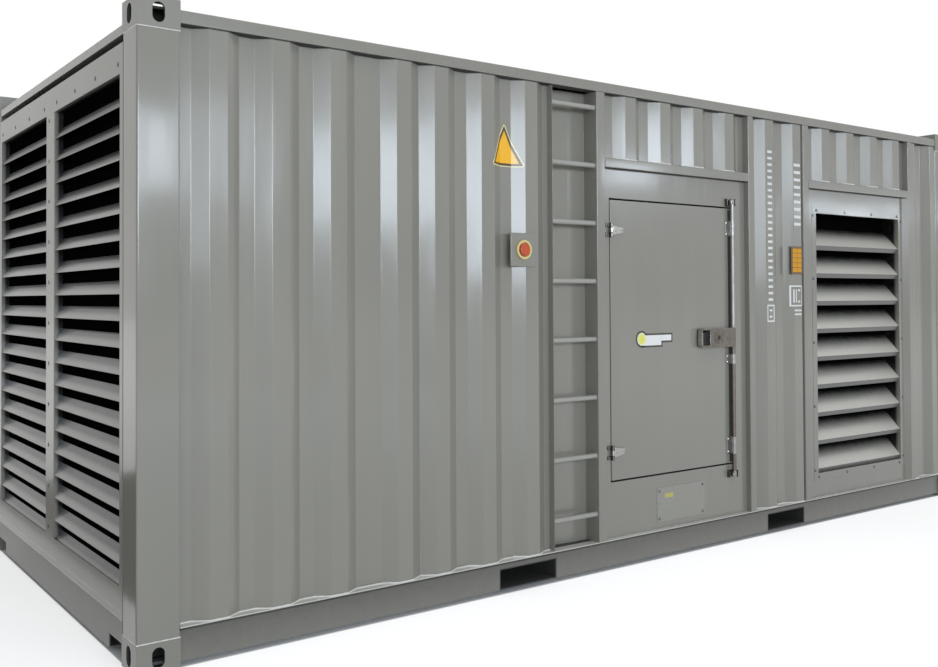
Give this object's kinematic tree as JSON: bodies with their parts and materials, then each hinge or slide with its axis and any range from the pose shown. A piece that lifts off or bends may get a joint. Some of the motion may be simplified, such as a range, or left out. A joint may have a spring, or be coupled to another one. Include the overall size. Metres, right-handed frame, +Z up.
{
  "type": "containerised generator enclosure",
  "caption": "Grey 20 ft container enclosure of a gas generator set, with a service door, louvred vents in the side and ends, a recessed ladder and an emergency stop.",
  "frame": {"origin": "middle of the base, on the ground under the corner castings", "axes": "+X along the length, towards the right when facing the door side; -Y faces the door side; +Z up"},
  "size_m": [6.058, 2.456, 2.591],
  "materials": {
    "grey_paint": "semi-gloss",
    "dark_paint": "matt",
    "steel": "satin",
    "yellow_plate": "gloss",
    "red_plastic": "gloss",
    "amber_plastic": "gloss"
  },
  "bodies": {
    "enclosure": {"corner_castings_bottom": "grey_paint", "corner_castings_top": "grey_paint", "corner_posts": "grey_paint", "top_side_rails": "grey_paint", "top_end_rails": "grey_paint", "bottom_side_rails": "grey_paint", "bottom_end_sills": "grey_paint", "fork_pockets": "dark_paint", "floor_bearers": "dark_paint", "floor": "dark_paint", "roof": "grey_paint", "front_wall_left": "grey_paint", "front_wall_over_door": "grey_paint", "front_wall_middle": "grey_paint", "front_wall_over_louvre": "grey_paint", "front_wall_right": "grey_paint", "back_wall_left": "grey_paint", "back_wall_over_louvre": "grey_paint", "back_wall_right": "grey_paint", "wall_posts": "grey_paint", "wall_lintels": "grey_paint", "ladder_recess": "grey_paint", "ladder_rungs": "steel", "door_surround": "grey_paint", "hinge_brackets": "steel", "rod_keepers": "steel", "side_louvre_frames": "grey_paint", "side_louvre_blades": "grey_paint", "end_louvre_frames": "grey_paint", "end_louvre_mullions": "grey_paint", "end_louvre_blades": "grey_paint", "stop_box": "grey_paint", "stop_collar": "yellow_plate", "plate_under_door": "grey_paint", "triangle_plate": "yellow_plate", "amber_marker": "amber_plastic"},
    "door": {"door_leaf": "grey_paint", "hinge_straps": "steel", "handle_base": "dark_paint", "rod_guides": "steel", "handle_tag": "yellow_plate"},
    "lock_rod": {"lock_rod": "steel", "handle_box": "steel"},
    "stop_button": {"stop_button": "red_plastic"}
  },
  "joints": [
    {"name": "door_hinge", "type": "hinge", "parent": "enclosure", "child": "door", "pos_m": [-0.443, -1.197, 1.194], "axis": [0, 0, -1], "range_deg": [0, 110]},
    {"name": "lock_rod_turn", "type": "hinge", "parent": "door", "child": "lock_rod", "pos_m": [0.555, -1.205, 1.192], "axis": [0, 0, 1], "range_deg": [0, 90]},
    {"name": "stop_press", "type": "slide", "parent": "enclosure", "child": "stop_button", "axis": [0, 1, 0], "range_m": [0, 0.003]}
  ]
}
